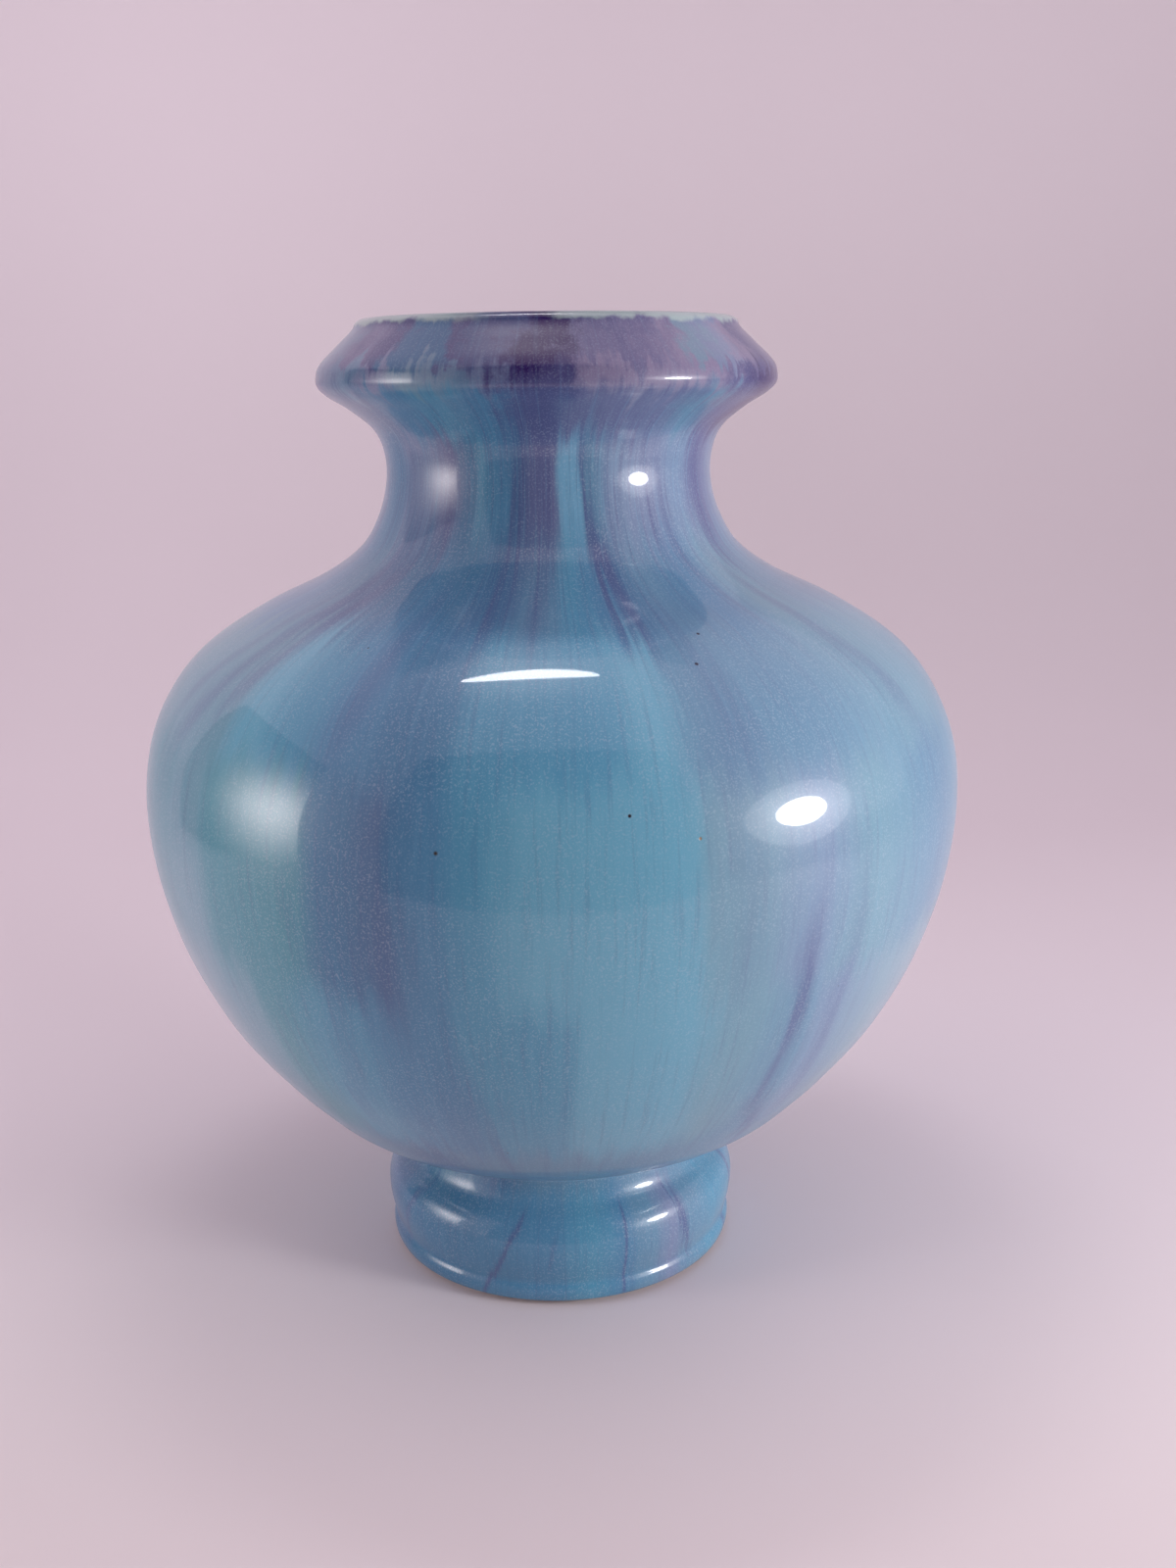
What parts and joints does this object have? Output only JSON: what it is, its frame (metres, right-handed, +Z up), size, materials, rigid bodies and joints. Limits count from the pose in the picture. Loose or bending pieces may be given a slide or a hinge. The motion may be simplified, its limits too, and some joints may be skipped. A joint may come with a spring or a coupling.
{
  "type": "vase",
  "caption": "Round-bellied stoneware vase on a moulded foot, with a waisted neck, a bevelled collar rim and a flowing glaze.",
  "frame": {"origin": "centre of the foot's contact ring, in the plane that the vase stands on", "axes": "+Z up along the vase's axis of rotation; X and Y are the same all round, and -Y faces the side with the strongest purple glaze run"},
  "size_m": [0.1892, 0.1892, 0.2225],
  "materials": {
    "stoneware": "bare fired stoneware, matt",
    "slip": "fired slip, matt",
    "flambe_glaze": "turquoise and aubergine flowing glaze, glossy",
    "liner_glaze": "pale celadon glaze, glossy"
  },
  "bodies": {
    "root": {"foot_ring": "stoneware", "foot_joint_slip": "slip", "lower_body": "stoneware", "belly_joint_slip": "slip", "upper_body": "stoneware", "neck_joint_slip": "slip", "neck": "stoneware", "collar_joint_slip": "slip", "rim_collar": "stoneware", "outer_glaze": "flambe_glaze", "liner_glaze": "liner_glaze"}
  },
  "joints": []
}
